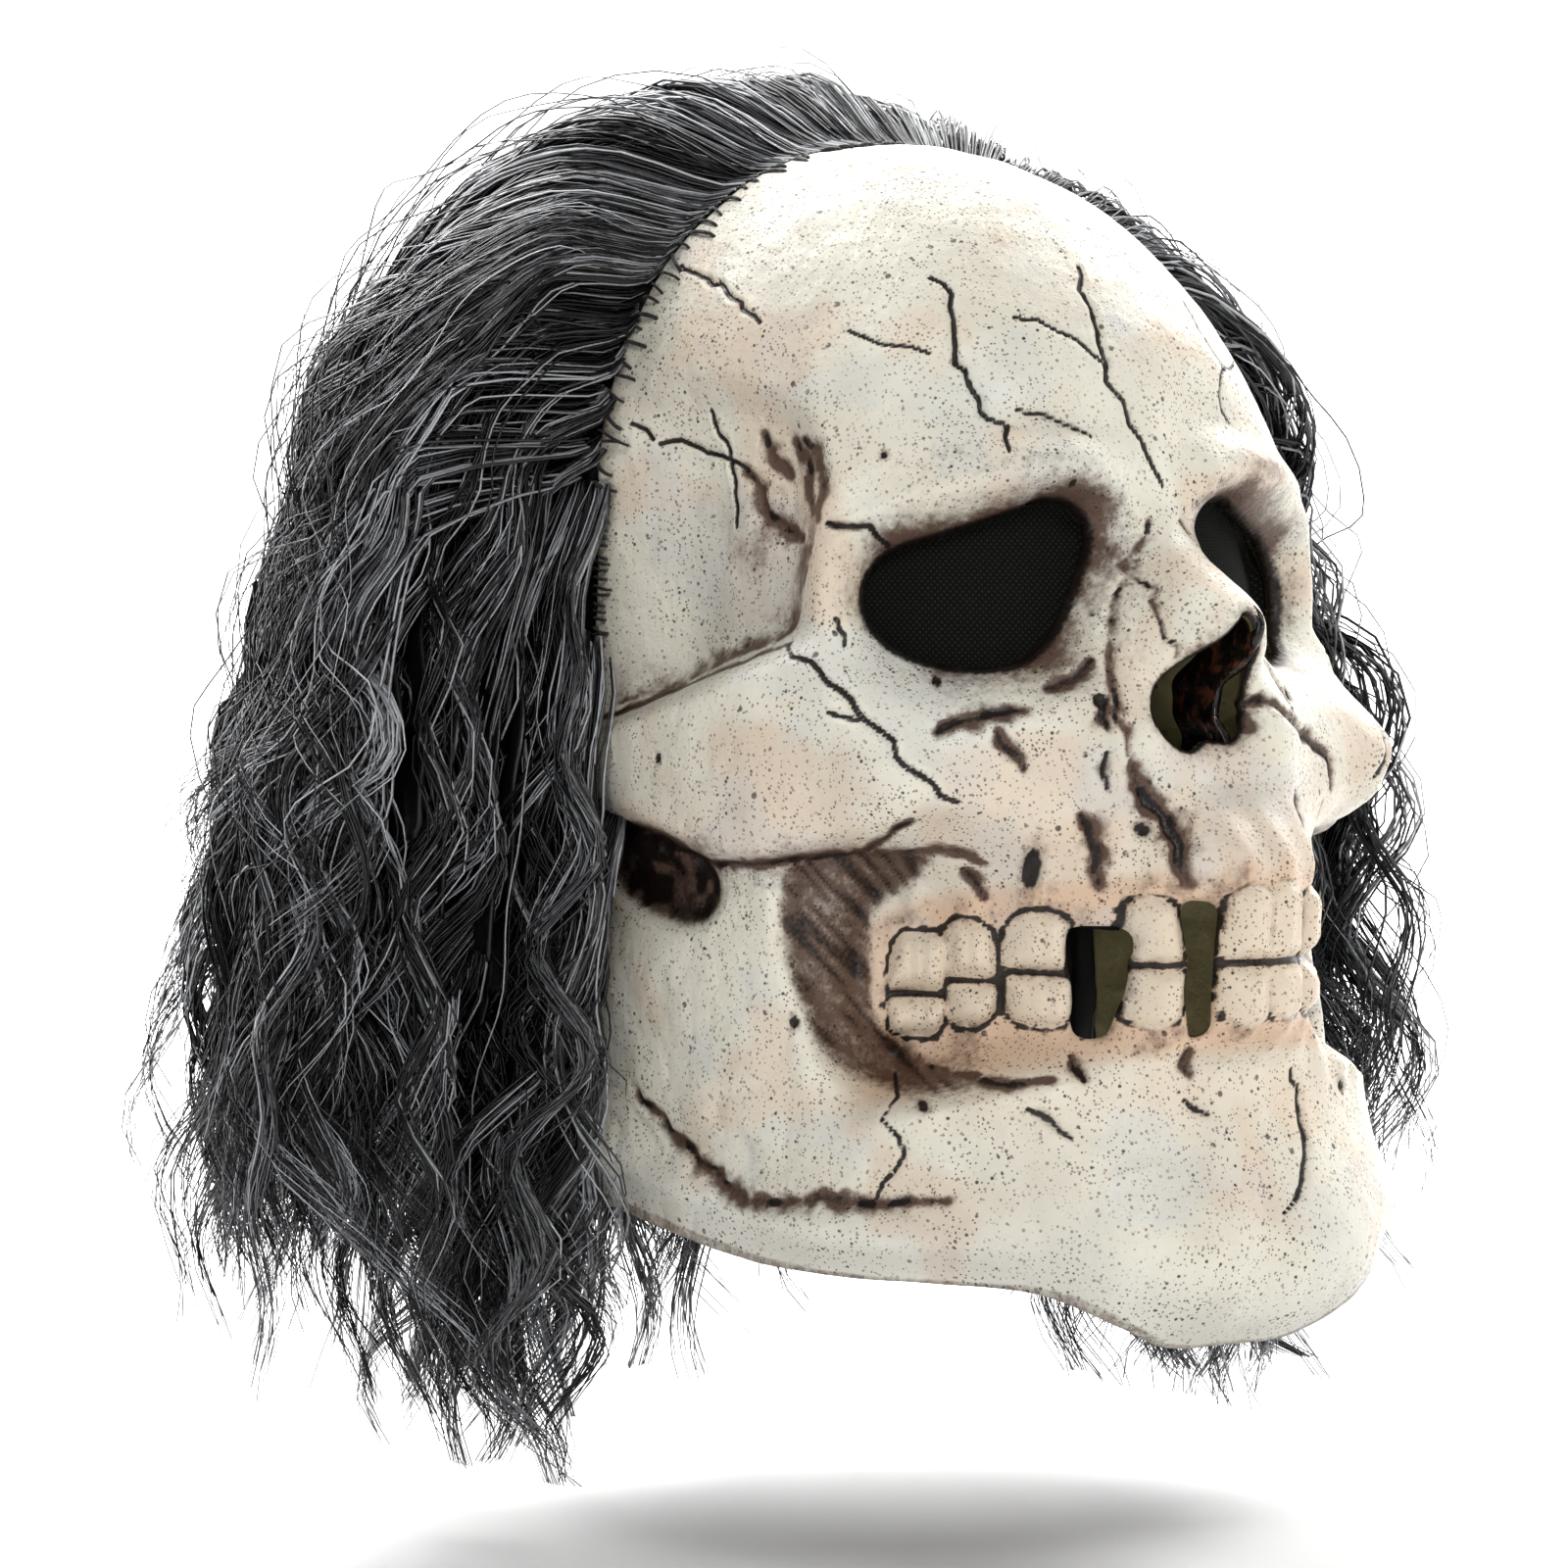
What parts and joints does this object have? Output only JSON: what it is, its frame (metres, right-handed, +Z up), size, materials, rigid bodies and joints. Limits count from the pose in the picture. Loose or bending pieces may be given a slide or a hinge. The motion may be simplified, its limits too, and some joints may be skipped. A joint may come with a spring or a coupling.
{
  "type": "latex halloween mask",
  "caption": "Over-the-head latex skull mask with meshed eye openings, open nose and missing teeth, and a wavy dark grey wig sewn to a stretch cap behind it",
  "frame": {"origin": "middle of the wearer's head at eye level, inside the empty mask", "axes": "+Z up as worn, the face looks along -Y, the wearer's right side is -X"},
  "size_m": [0.3028, 0.2901, 0.3272],
  "materials": {
    "latex": "satin",
    "eye_mesh": "matte",
    "cap_fabric": "matte",
    "elastic": "matte",
    "weft_thread": "matte",
    "hair": "satin",
    "seam_thread": "matte"
  },
  "bodies": {
    "root": {"skull_shell": "latex", "eye_mesh_right": "eye_mesh", "eye_mesh_left": "eye_mesh", "wig_cap": "cap_fabric", "cap_hem_elastic": "elastic", "weft_track_1": "weft_thread", "hair_row_1": "hair", "weft_track_2": "weft_thread", "hair_row_2": "hair", "weft_track_3": "weft_thread", "hair_row_3": "hair", "weft_track_4": "weft_thread", "hair_row_4": "hair", "weft_track_5": "weft_thread", "hair_row_5": "hair", "weft_track_6": "weft_thread", "hair_row_6": "hair", "weft_track_7": "weft_thread", "hair_row_7": "hair", "weft_track_8": "weft_thread", "hair_row_8": "hair", "seam_stitches_crown": "seam_thread", "seam_stitches_right": "seam_thread", "seam_stitches_left": "seam_thread"}
  },
  "joints": []
}
